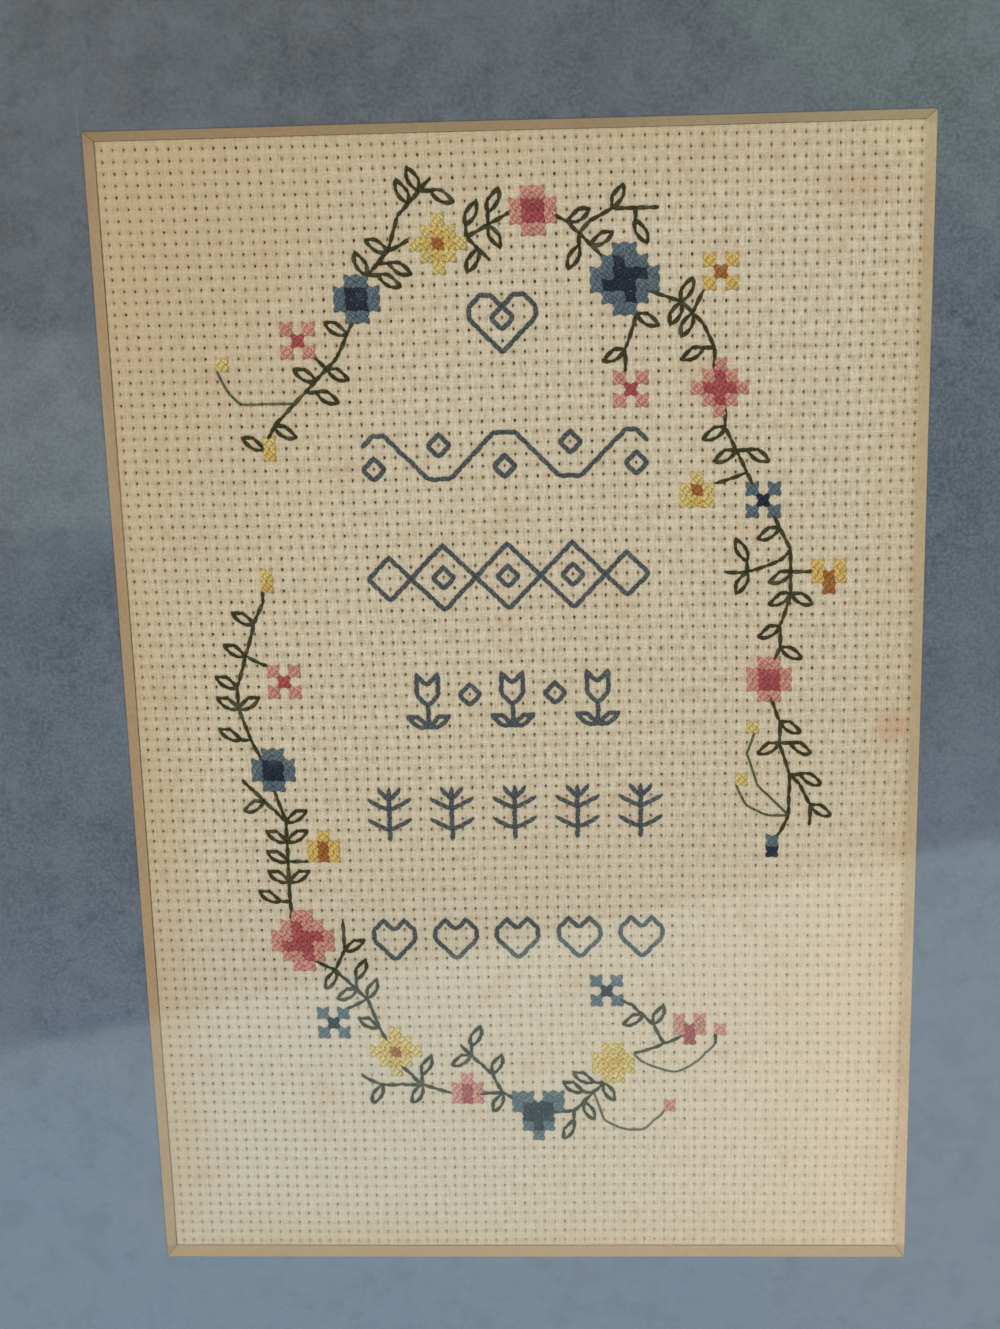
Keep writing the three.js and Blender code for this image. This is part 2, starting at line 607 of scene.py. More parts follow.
@dataclass(frozen=True)
class PictureGlass:
    """Clear picture glass, which mirrors a little of the room and lets the rest through."""

    head_on: float = 0.042
    blur: float = 0.045
    tint: Colour = (0.985, 0.995, 0.99)

    def material(self) -> bpy.types.Material:
        """Returns the glass's material."""
        bench = Bench("picture_glass")
        facing = Value(bench, bench.node("ShaderNodeLayerWeight").outputs["Facing"])
        mirrored = self.head_on + (facing ** 5.0) * (1.0 - self.head_on)
        clear = bench.node("ShaderNodeBsdfTransparent", inputs={"Color": (*self.tint, 1.0)})
        gloss = bench.node("ShaderNodeBsdfGlossy", inputs={"Roughness": self.blur})
        inputs = {0: mirrored, 1: clear.outputs[0], 2: gloss.outputs[0]}
        return bench.output(bench.node("ShaderNodeMixShader", inputs=inputs).outputs[0])


@dataclass(frozen=True)
class PaleFloor:
    """A plain pale floor with a faint unevenness."""

    pale: Colour = from_screen(226, 223, 217)
    shade: Colour = from_screen(216, 213, 206)

    def material(self) -> bpy.types.Material:
        """Returns the floor's material."""
        bench = Bench("pale_floor")
        clouds = bench.noise(bench.place(), 6.0, 2.0)
        colour = bench.blend(clouds.between(0.3, 0.7), self.pale, self.shade)
        return bench.surface(colour, 0.7)


# Mesh making


def make_piece(name: str, points: Sequence, faces: Sequence, material: bpy.types.Material,
               slot: str | None = None) -> bpy.types.Object:
    """Makes a mesh piece that rides with the sampler.

    Args:
        name: the piece's name.
        points: its vertices, in metres.
        faces: its faces, each a list of vertex numbers.
        material: its material.
        slot: the record's material slot that it belongs to.

    Returns:
        The piece.
    """
    mesh = bpy.data.meshes.new(name)
    mesh.from_pydata(points, [], faces)
    mesh.materials.append(material)
    mesh.validate()
    piece = bpy.data.objects.new(name, mesh)
    bpy.context.scene.collection.objects.link(piece)
    if slot:
        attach(piece, BODY)
    return piece


def report(piece: bpy.types.Object) -> None:
    """Logs a piece's name and how many faces it has."""
    log.info("%s: %d faces", piece.name, len(piece.data.polygons))


@dataclass
class Skein:
    """Strands of floss, gathered into one mesh of closed tubes."""

    sides: int = 6
    points: list[np.ndarray] = field(default_factory=list)
    faces: list[list[int]] = field(default_factory=list)
    chart: list[Point] = field(default_factory=list)
    count: int = 0

    def lay(self, path: np.ndarray, radius: float, squash: float) -> None:
        """Adds one strand.

        Args:
            path: the points along its middle.
            radius: half its width.
            squash: its height as a share of its width.
        """
        along = np.gradient(path, axis=0)
        along /= np.linalg.norm(along, axis=1, keepdims=True)
        chord = path[-1] - path[0]
        side = np.array([-chord[1], chord[0], 0.0])
        side /= max(np.linalg.norm(side), 1e-9)
        up = np.cross(along, side)
        up /= np.linalg.norm(up, axis=1, keepdims=True)
        turn = np.arange(self.sides) * (2 * math.pi / self.sides)
        ring = (
            path[:, None, :]
            + side * (radius * np.cos(turn))[None, :, None]
            - up[:, None, :] * (radius * squash * np.sin(turn))[None, :, None]
        )
        steps = len(path)
        first = self.count
        self.points.append(ring.reshape(-1, 3))
        self.count += steps * self.sides
        for step in range(steps - 1):
            low = first + step * self.sides
            for i in range(self.sides):
                j = (i + 1) % self.sides
                self.faces.append([low + i, low + j, low + self.sides + j, low + self.sides + i])
                a, b = step / (steps - 1), (step + 1) / (steps - 1)
                c, d = i / self.sides, (i + 1) / self.sides
                self.chart += [(a, c), (a, d), (b, d), (b, c)]
        last = first + (steps - 1) * self.sides
        self.faces.append([first + i for i in reversed(range(self.sides))])
        self.faces.append([last + i for i in range(self.sides)])
        self.chart += [(0.0, 0.0)] * self.sides + [(1.0, 0.0)] * self.sides

    def piece(self, name: str, material: bpy.types.Material) -> bpy.types.Object:
        """Makes the mesh of every strand laid so far.

        Args:
            name: the piece's name.
            material: its material.

        Returns:
            The piece.
        """
        points = np.concatenate(self.points).tolist()
        made = make_piece(name, points, self.faces, material, "cotton_floss")
        layer = made.data.uv_layers.new(name="strand")
        layer.data.foreach_set("uv", np.array(self.chart, np.float32).ravel())
        made.data.shade_smooth()
        return made


# The cloth


@dataclass
class AidaCloth:
    """The Aida cloth: a sheet with a hole at each corner of its squares, laid flat under the mat."""

    grid: Grid
    stitched: set[Hole]
    level: float
    hole_width: float = 0.235
    hole_height: float = 0.32
    uneven: float = 0.04
    closed: float = 0.46
    opened: float = 0.26
    opened_beside: float = 0.14
    narrowing: float = 0.1
    margin: float = 25.0 * MM
    pillow: float = 0.07 * MM
    dip: float = 0.09 * MM
    bumps: float = 0.02 * MM
    thickness: float = 0.55 * MM
    seed: int = 11

    def lines(self, count: float, pitch: float, hole: float, inset: float) -> tuple[np.ndarray, ...]:
        """Gives the grid lines of one direction, in squares: two at each hole and one between holes.

        Args:
            count: how many squares the window takes.
            pitch: the size of one, in metres.
            hole: a hole's size in this direction, in squares.
            inset: how far the first hole is from the window's edge, in squares.

        Returns:
            The lines, and for each whether it bounds a hole.
        """
        spots = [(i + offset, edge) for i in range(math.ceil(count - inset))
                 for offset, edge in ((-hole / 2, 1), (hole / 2, 1), (0.5, 0))]
        reach = self.margin / pitch
        before = [(-reach - inset, 0), (-reach / 2, 0), (-0.5, 0)]
        after = [(count + reach / 2, 0), (count + reach - inset, 0)]
        every = before + spots + after
        return np.array([s for s, _ in every]), np.array([e for _, e in every])

    def openness(self, hole: Hole, rng: random.Random) -> float:
        """Tells how far a hole stands open, more where the needle has been and less to the right.

        Args:
            hole: the hole.
            rng: the cloth's own unevenness.

        Returns:
            The width of its foot as a share of its mouth's.
        """
        column, row = hole
        beside = any((column + i, row + j) in self.stitched for i in (-1, 0, 1) for j in (-1, 0, 1))
        wider = self.opened if hole in self.stitched else self.opened_beside * beside
        narrower = self.narrowing * column / self.grid.columns
        return self.closed + wider - narrower + rng.uniform(-0.14, 0.1)

    def walls(self, rim: Sequence[int], hole: Hole, points: list, chart: list, faces: list,
              rng: random.Random) -> None:
        """Adds the threads' sides round a hole, from its mouth down to its narrower foot.

        Args:
            rim: the four vertices round its mouth.
            hole: the hole.
            points: the sheet's vertices, which the foot's are added to.
            chart: their places on the weave.
            faces: the sheet's faces.
            rng: the cloth's own unevenness.
        """
        share = self.openness(hole, rng)
        foot = len(points)
        for vertex in rim:
            u = hole[0] + (chart[vertex][0] - hole[0]) * share
            v = hole[1] + (chart[vertex][1] - hole[1]) * share
            points.append((*self.grid.point(u, v), self.level - self.thickness))
            chart.append((u, v))
        for i in range(4):
            j = (i + 1) % 4
            faces.append([rim[i], rim[j], foot + j, foot + i])

    def build(self) -> bpy.types.Object:
        """Builds the woven sheet.

        Returns:
            The cloth.
        """
        rng = random.Random(self.seed)
        grid = self.grid
        columns, on_column = self.lines(grid.columns, grid.pitch, self.hole_width, grid.inset[0])
        rows, on_row = self.lines(grid.rows, grid.row_pitch, self.hole_height, grid.inset[1])
        points, chart = [], []
        for j, row in enumerate(rows):
            for i, column in enumerate(columns):
                loose = self.uneven if on_column[i] and on_row[j] else self.uneven * 0.35
                u = column + rng.uniform(-loose, loose)
                v = row + rng.uniform(-loose, loose)
                at_hole = on_column[i] and on_row[j]
                amid = not on_column[i] and not on_row[j]
                z = self.level - self.dip * at_hole + self.pillow * amid
                points.append((*grid.point(u, v), z + rng.uniform(-self.bumps, self.bumps)))
                chart.append((u, v))
        faces = []
        wide = len(columns)
        for j in range(len(rows) - 1):
            for i in range(wide - 1):
                a = j * wide + i
                rim = [a, a + wide, a + wide + 1, a + 1]
                if on_column[i] and on_column[i + 1] and on_row[j] and on_row[j + 1]:
                    middle = (columns[i] + columns[i + 1]) / 2, (rows[j] + rows[j + 1]) / 2
                    hole = (round(middle[0]), round(middle[1]))
                    self.walls(rim, hole, points, chart, faces, rng)
                else:
                    faces.append(rim)
        cloth = make_piece("aida_cloth", points, faces, AidaCotton().material(grid), "aida_cloth")
        layer = cloth.data.uv_layers.new(name="weave")
        corners = np.empty(len(cloth.data.loops), np.int64)
        cloth.data.loops.foreach_get("vertex_index", corners)
        layer.data.foreach_set("uv", np.array(chart, np.float32)[corners].ravel())
        cloth.data.shade_smooth()
        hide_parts("embroidered_cloth")
        return cloth


# Stitches


@dataclass
class Stitcher:
    """Works counted stitches on the grid, each colour gathered in its own skein."""

    grid: Grid
    level: float
    strand: float = 0.27 * MM
    strand_gap: float = 0.245 * MM
    sway: float = 0.05 * MM
    lift_stray: float = 0.03 * MM
    squash: float = 0.72
    under: float = 0.2 * MM
    over: float = 0.34 * MM
    line_strand: float = 0.18 * MM
    line_gap: float = 0.14 * MM
    line_sway: float = 0.06 * MM
    line_squash: float = 0.9
    line_twist: float = 0.4
    line_rise: float = 0.2 * MM
    belly: float = 0.06
    depth: float = 0.5 * MM
    behind: float = 0.74 * MM
    carry: float = 6.0
    seed: int = 5
    skeins: dict[Floss, Skein] = field(default_factory=dict)
    stitched: set[Hole] = field(default_factory=set)
    crossed: set[Hole] = field(default_factory=set)
    needle: dict[Floss, Hole] = field(default_factory=dict)

    def __post_init__(self) -> None:
        """Seeds the small unevenness of handwork."""
        self.rng = random.Random(self.seed)

    def skein(self, floss: Floss) -> Skein:
        """Returns the skein of a colour, started when it is first used."""
        return self.skeins.setdefault(floss, Skein())

    def travel(self, floss: Floss, up: Hole, down: Hole) -> None:
        """Carries the needle behind the cloth to where the next stitch comes up, then on to its end.

        Args:
            floss: the colour.
            up: the hole that the next stitch comes up through.
            down: the hole that it goes down through.
        """
        last = self.needle.get(floss)
        self.needle[floss] = down
        self.stitched.update((up, down))
        if last is None or last == up or math.dist(last, up) > self.carry:
            return
        ends = [(*self.grid.point(*hole), self.level - self.behind) for hole in (last, up)]
        path = np.array([ends[0], np.mean(ends, axis=0), ends[1]])
        self.skein(floss).lay(path, self.strand, 0.6)

    def strand_path(self, start: Hole, end: Hole, share: np.ndarray, out: np.ndarray,
                    rise: np.ndarray | float, lift: np.ndarray) -> np.ndarray:
        """Gives the points along the middle of one strand.

        Args:
            start: the hole at one end.
            end: the hole at the other end.
            share: how far along each point lies, 0 to 1.
            out: how far each point strays to the left.
            rise: how far it would stand above the cloth.
            lift: the share of the way there, from deep in the hole, that each point reaches.

        Returns:
            The points, in metres.
        """
        a = np.array(self.grid.point(*start))
        b = np.array(self.grid.point(*end))
        across = np.array([a[1] - b[1], b[0] - a[0]])
        across /= np.linalg.norm(across)
        flat = a + (b - a) * share[:, None] + across * out[:, None]
        return np.column_stack([flat, self.level - self.depth + (self.depth + rise) * lift])

    def leg(self, floss: Floss, start: Hole, end: Hole, rise: float) -> None:
        """Lays one leg of a cross: two strands side by side, from hole to hole.

        Args:
            floss: the colour.
            start: the hole that it comes up through.
            end: the hole that it goes down through.
            rise: how far its middle stands above the cloth.
        """
        self.travel(floss, start, end)
        share = np.array([0.0, 0.05, 0.14, 0.3, 0.5, 0.7, 0.86, 0.95, 1.0])
        inner = np.minimum(share, 1 - share)
        lift = np.interp(inner, [0.0, 0.05, 0.14, 0.3, 0.5], [0.0, 0.55, 0.82, 0.96, 1.0])
        spread = np.interp(inner, [0.0, 0.05, 0.14, 0.3], [0.2, 0.4, 0.8, 1.0])
        for sign in (-1, 1):
            sway = self.rng.uniform(-self.sway, self.sway)
            out = sign * self.strand_gap * spread + sway * np.sin(share * math.pi)
            height = rise + self.rng.uniform(-self.lift_stray, self.lift_stray)
            radius = self.strand * self.rng.uniform(0.92, 1.08)
            path = self.strand_path(start, end, share, out, height, lift)
            self.skein(floss).lay(path, radius, self.squash)

    def cross(self, floss: Floss, column: int, row: int) -> None:
        """Works one cross over the square right of and below a hole.

        Args:
            floss: the colour.
            column: the hole's column.
            row: the hole's row.
        """
        self.leg(floss, (column, row + 1), (column + 1, row), self.under)
        self.leg(floss, (column, row), (column + 1, row + 1), self.over)

    def free(self, *holes: Hole) -> bool:
        """Tells whether no stitch uses or passes over any of some holes."""
        return not any(hole in self.stitched or hole in self.crossed for hole in holes)

    def line(self, floss: Floss, route: Sequence[Hole], strands: int = 2, rounded: bool = False) -> None:
        """Works backstitch along a route, one stitch between each hole and the next.

        Args:
            floss: the colour.
            route: the holes.
            strands: how many strands of floss are used.
            rounded: whether it is a closed outline whose loose stitches belly outward.
        """
        spots = [self.grid.point(*hole) for hole in route]
        area = sum(x0 * y1 - x1 * y0 for (x0, y0), (x1, y1) in zip(spots, spots[1:]))
        belly = -math.copysign(self.belly, area) * rounded
        for start, end in zip(route, route[1:]):
            self.backstitch(floss, start, end, strands, belly)

    def backstitch(self, floss: Floss, start: Hole, end: Hole, strands: int, belly: float = 0.0) -> None:
        """Lays one backstitch, its strands lightly twisted.

        Args:
            floss: the colour.
            start: the hole at one end.
            end: the hole at the other end.
            strands: how many strands of floss are used.
            belly: how far it strays to its left, as a share of its length.
        """
        self.travel(floss, end, start)
        for near in (0.35, 0.65):
            far = 1 - near
            column, row = start[0] * far + end[0] * near, start[1] * far + end[1] * near
            self.crossed.add((round(column), round(row)))
        share = np.array([0.0, 0.05, 0.13, 0.25, 0.42, 0.58, 0.75, 0.87, 0.95, 1.0])
        inner = np.minimum(share, 1 - share)
        lift = np.interp(inner, [0.0, 0.05, 0.13, 0.25, 0.5], [0.0, 0.5, 0.8, 0.95, 1.0])
        length = math.dist(self.grid.point(*start), self.grid.point(*end))
        turns = length / self.grid.pitch * self.line_twist
        begin = self.rng.uniform(0, 2 * math.pi)
        bow = belly * length + self.rng.uniform(-self.line_sway, self.line_sway)
        reach = self.line_gap * math.sqrt(strands - 1) * np.interp(inner, [0, 0.13], [0.4, 1.0])
        for strand in range(strands):
            phase = begin + (strand / strands + share * turns) * 2 * math.pi
            out = reach * np.cos(phase) + bow * np.sin(share * math.pi)
            height = self.line_rise + reach * 0.6 * np.sin(phase)
            path = self.strand_path(start, end, share, out, height, lift)
            self.skein(floss).lay(path, self.line_strand, self.line_squash)

    def pieces(self) -> list[bpy.types.Object]:
        """Makes a piece of each colour's stitches."""
        finish = FlossCotton()
        return [skein.piece(floss.piece_name, finish.material(floss))
                for floss, skein in self.skeins.items()]


# Flowers and leaves


class Hue(Enum):
    """A flower's flosses: its light petals, its dark petals and its centre."""

    ROSE = (Floss.ROSE_LIGHT, Floss.ROSE_DARK, Floss.ROSE_DARK)
    BLUE = (Floss.BLUE, Floss.NAVY, Floss.NAVY)
    SUN = (Floss.YELLOW, Floss.GOLD, Floss.RUST)
    AMBER = (Floss.GOLD, Floss.RUST, Floss.RUST)


class Chart(Enum):
    """Flowers charted square by square: l light, d dark, c centre, and . bare cloth."""

    ROSETTE = (
        ".ll.",
        "lddl",
        "lddl",
        ".ll.",
    )
    PANSY = (
        "ll.ll",
        "ldddl",
        ".dcd.",
        ".ldl.",
        "..l..",
    )
    WHEEL = (
        "..ll..",
        ".ldll.",
        "llccdl",
        "ldccll",
        ".lldl.",
        "..ll..",
    )
    BLOSSOM = (
        ".l.",
        "lcl",
        "ldl",
    )
    DAISY = (
        "..l..",
        ".ldl.",
        "ldcdl",
        ".ldl.",
        "..l..",
    )
    TULIP = (
        "l.l",
        "ldl",
        ".d.",
    )
    STAR = (
        "l.l",
        ".c.",
        "l.l",
    )
    BUD = (
        "l",
        "d",
    )
    BERRY = ("l",)

    @property
    def size(self) -> tuple[int, int]:
        """The chart's columns and rows."""
        return len(self.value[0]), len(self.value)


@dataclass(frozen=True)
class Oval:
    """The wandering oval that the garland follows, with angles in degrees clockwise from its top."""

    column: float = 35.5
    row: float = 48.5
    half_width: float = 25.0
    half_height: float = 42.0
    wander: float = 1.3
    waves: float = 11.0

    def at(self, degrees: float, out: float = 0.0) -> Point:
        """Gives a place on the oval.

        Args:
            degrees: the angle.
            out: squares outward from it.

        Returns:
            The column and row.
        """
        angle = math.radians(degrees)
        sway = self.wander * math.sin(angle * self.waves) + out
        column = self.column + (self.half_width + sway) * math.sin(angle)
        row = self.row - (self.half_height + sway) * math.cos(angle)
        return column, row

    def heading(self, degrees: float) -> float:
        """Gives which way the oval runs clockwise at an angle, in degrees from the row to the right."""
        angle = math.radians(degrees)
        across, down = self.half_width * math.cos(angle), self.half_height * math.sin(angle)
        return math.degrees(math.atan2(down, across))


OVAL = Oval()


@dataclass(frozen=True)
class Bloom:
    """A flower: its chart, its colours and its middle on the grid."""

    chart: Chart
    hue: Hue
    middle: Point

    def squares(self) -> Iterable[tuple[str, int, int]]:
        """Yields each stitched square's letter, column and row."""
        wide, high = self.chart.size
        left = round(self.middle[0] - wide / 2)
        top = round(self.middle[1] - high / 2)
        for j, line in enumerate(self.chart.value):
            for i, letter in enumerate(line):
                if letter != ".":
                    yield letter, left + i, top + j

    def covers(self, column: int, row: int) -> bool:
        """Tells whether a hole lies under the flower or at its edge."""
        return any(i <= column <= i + 1 and j <= row <= j + 1 for _, i, j in self.squares())

    def work(self, stitcher: Stitcher, stems: set[Hole]) -> None:
        """Stitches the flower, and a stalk to the nearest stem if none touches it.

        Args:
            stitcher: the stitcher.
            stems: every hole of the stems.
        """
        light, dark, centre = self.hue.value
        flosses = {"l": light, "d": dark, "c": centre}
        corners = []
        for letter, column, row in self.squares():
            stitcher.cross(flosses[letter], column, row)
            corners += [(column, row), (column + 1, row), (column, row + 1), (column + 1, row + 1)]
        pairs = ((stem, corner) for stem in stems for corner in corners)
        foot, top = min(pairs, key=lambda pair: math.dist(*pair))
        if foot != top:
            stitcher.line(Floss.OLIVE, [foot, top])


def leaf_outline(base: Hole, across: int, down: int, steep: bool) -> list[Hole]:
    """Gives a slim hollow leaf that starts at a hole.

    Args:
        base: the hole at its foot.
        across: 1 for a leaf to the right, -1 to the left.
        down: 1 for a leaf that points down, -1 up.
        steep: whether it stands up rather than lies along.

    Returns:
        Its closed outline.
    """
    c, r = base
    tip = (c + across, r + 2 * down) if steep else (c + 2 * across, r + down)
    near = (c, r + down) if steep else (c + across, r)
    far = (c + across, r + down)
    return [base, near, tip, far, base]


@dataclass
class Vine(ABC):
    """A stem worked in backstitch, with leaves on alternate sides and maybe a flower at its tip."""

    tip: tuple[Chart, Hue] | None = field(default=None, kw_only=True)
    tendril: bool = field(default=False, kw_only=True)
    pairs: float = field(default=0.4, kw_only=True)
    shortest: float = field(default=1.4, kw_only=True)
    longest: float = field(default=2.6, kw_only=True)
    stray: float = field(default=0.36, kw_only=True)

    @abstractmethod
    def path(self) -> Iterable[Point]:
        """Yields close-set places along the stem, in squares."""

    def route(self) -> list[Hole]:
        """Gives the holes that the stem passes through, each close to its path."""
        holes: list[Hole] = []
        for column, row in self.path():
            hole = (round(column), round(row))
            gone = math.dist(hole, holes[-1]) if holes else self.longest
            near = math.dist(hole, (column, row)) < self.stray
            if gone >= self.longest or (near and gone >= self.shortest):
                holes.append(hole)
        return holes

    def stretches(self, blooms: Sequence[Bloom]) -> list[tuple[Hole, Hole]]:
        """Gives the stem's stitches, without those that a flower covers.

        Args:
            blooms: the flowers.

        Returns:
            Both holes of each stitch.
        """
        route = self.route()
        return [
            (a, b) for a, b in zip(route, route[1:])
            if not any(bloom.covers(*a) and bloom.covers(*b) for bloom in blooms)
        ]

    def flower(self) -> list[Bloom]:
        """Gives the flower at the stem's tip, if it has one."""
        return [Bloom(*self.tip, list(self.path())[-1])] if self.tip else []

    def stem(self, stitcher: Stitcher, blooms: Sequence[Bloom]) -> None:
        """Stitches the stem.

        Args:
            stitcher: the stitcher.
            blooms: the flowers, under which the stem isn't stitched.
        """
        floss, strands = (Floss.SAGE, 1) if self.tendril else (Floss.OLIVE, 2)
        for a, b in self.stretches(blooms):
            stitcher.backstitch(floss, a, b, strands)

    def leaves(self, stitcher: Stitcher, blooms: Sequence[Bloom]) -> None:
        """Stitches the leaves, on alternate sides and now and then in pairs.

        Args:
            stitcher: the stitcher.
            blooms: the flowers.
        """
        for number, (a, b) in enumerate(self.stretches(blooms)):
            paired = stitcher.rng.random() < self.pairs
            for turn in range(1 + paired):
                self.leaf(stitcher, a, b, number + turn)

    @staticmethod
    def leaf(stitcher: Stitcher, a: Hole, b: Hole, number: int) -> None:
        """Adds a leaf on one side of the stem, where the cloth is free.

        Args:
            stitcher: the stitcher.
            a: the hole that it grows from.
            b: the stem's next hole.
            number: counts the leaves, so that they change sides.
        """
        along = (b[0] - a[0], b[1] - a[1])
        side = 1 if number % 2 else -1
        toward = (along[0] * 0.6 - side * along[1], along[1] * 0.6 + side * along[0])
        across = 1 if toward[0] > 0 else -1
        down = 1 if toward[1] > 0 else -1
        leaning = abs(toward[1]) > abs(toward[0])
        for steep, stalk in ((leaning, number % 3 == 0), (leaning, False), (not leaning, False)):
            base = (a[0] + across * stalk * (not steep), a[1] + down * stalk * steep)
            outline = leaf_outline(base, across, down, steep)
            if stitcher.free(*outline[1:4]) and (base == a or stitcher.free(base)):
                if stalk:
                    stitcher.line(Floss.OLIVE, [a, base])
                stitcher.line(Floss.OLIVE, outline, rounded=True)
                return


@dataclass
class Garland(Vine):
    """One stretch of the open oval, from one angle on to another."""

    start: float
    end: float

    def path(self) -> Iterable[Point]:
        """Yields close-set places along the oval."""
        steps = int(abs(self.end - self.start) * 2)
        for step in range(steps + 1):
            yield OVAL.at(self.start + (self.end - self.start) * step / steps)


GARLANDS = (Garland(-58.0, 112.0), Garland(140.0, 285.0))


@dataclass
class Shoot(Vine):
    """A side shoot or a tendril that leaves a garland's stem and curls as it goes."""

    angle: float
    lean: float
    curl: float
    length: float

    def path(self) -> Iterable[Point]:
        """Yields close-set places along the shoot."""
        holes = [hole for garland in GARLANDS for hole in garland.route()]
        column, row = min(holes, key=lambda hole: math.dist(hole, OVAL.at(self.angle)))
        heading = OVAL.heading(self.angle) + self.lean
        stride = 0.25
        for _ in range(int(self.length / stride) + 1):
            yield column, row
            column += stride * math.cos(math.radians(heading))
            row += stride * math.sin(math.radians(heading))
            heading += stride * self.curl


@dataclass(frozen=True)
class Bands:
    """Six rows of old sampler borders in slate blue backstitch, down the middle of the oval."""

    stitcher: Stitcher
    middle: int = 35
    floss: Floss = Floss.SLATE
    strands: int = 3

    def line(self, route: Sequence[Hole]) -> None:
        """Works a route."""
        self.stitcher.line(self.floss, route, self.strands)

    def both(self, route: Sequence[Hole]) -> None:
        """Works a route and its mirror image about the middle column."""
        self.line(route)
        self.line([(2 * self.middle - column, row) for column, row in route])

    def lozenges(self, row: int, half: int, reach: int) -> None:
        """Works a chain of lozenges, each with a smaller one inside.

        Args:
            row: the chain's middle row.
            half: half a lozenge's height and width.
            reach: how many lozenges lie on each side of the middle one.
        """
        for number in range(-reach, reach + 1):
            c = self.middle + number * 2 * half
            self.line(self.diamond(c, row, half))
            self.line(self.diamond(c, row, 1))

    @staticmethod
    def diamond(column: int, row: int, half: int) -> list[Hole]:
        """Returns a lozenge about a hole, one stitch to a square, that reaches half its width each way."""
        corners = [(0, -1), (1, 0), (0, 1), (-1, 0), (0, -1)]
        route = [(column, row - half)]
        for (c0, r0), (c1, r1) in zip(corners, corners[1:]):
            for step in range(1, half + 1):
                share = step / half
                c = column + round(half * (c0 + (c1 - c0) * share))
                r = row + round(half * (r0 + (r1 - r0) * share))
                route.append((c, r))
        return route

    def waves(self, row: int) -> None:
        """Works a running wave about a row, with a lozenge in each of its hollows."""
        rises = (-2, -2, -1, 0, 1, 2, 2, 2, 1, 0, -1, -2, -2, -1)
        self.both([(self.middle + c, row + r) for c, r in enumerate(rises)])
        for column, offset in ((0, 1), (6, -1), (12, 1)):
            self.both(self.diamond(self.middle + column, row + offset, 1))

    def heart(self, column: int, row: int, wide: int = 2) -> None:
        """Works a heart that stands on a hole.

        Args:
            column: the hole's column.
            row: the hole's row.
            wide: half the heart's width.
        """
        side = [(c, -c) for c in range(wide + 1)] + [(wide, -wide - 1)]
        half = side + [(c, -wide - 2) for c in range(wide - 1, 0, -1)] + [(0, -wide - 1)]
        for turn in (1, -1):
            self.line([(column + turn * c, row + r) for c, r in half])

    def tree(self, column: int, row: int) -> None:
        """Works a little fir that stands on a hole."""
        self.line([(column, row - r) for r in range(6)])
        for reach, low in ((2, 1), (2, 3), (1, 4)):
            for turn in (1, -1):
                self.line([(column, row - low), (column + turn * reach, row - low - 1)])

    def tulip(self, column: int, row: int) -> None:
        """Works an outlined tulip with two leaves, standing on a hole."""
        stem = [(0, 0), (0, -1), (0, -2)]
        cup = [(0, -2), (1, -3), (1, -4), (1, -5), (0, -4), (-1, -5), (-1, -4), (-1, -3), (0, -2)]
        self.line([(column + c, row + r) for c, r in stem])
        self.line([(column + c, row + r) for c, r in cup])
        for across in (1, -1):
            self.line(leaf_outline((column, row), across, -1, False))

    def work(self) -> None:
        """Works the six rows."""
        self.heart(self.middle, 18, 3)
        self.line(self.diamond(self.middle, 15, 1))
        self.waves(27)
        self.lozenges(38, 3, 1)
        self.both(self.diamond(self.middle + 11, 38, 2))
        for offset in (-8, 0, 8):
            self.tulip(self.middle + offset, 52)
        self.both(self.diamond(self.middle + 4, 49, 1))
        for offset in (-12, -6, 0, 6, 12):
            self.tree(self.middle + offset, 63)
        for offset in (-12, -6, 0, 6, 12):
            self.heart(self.middle + offset, 75)


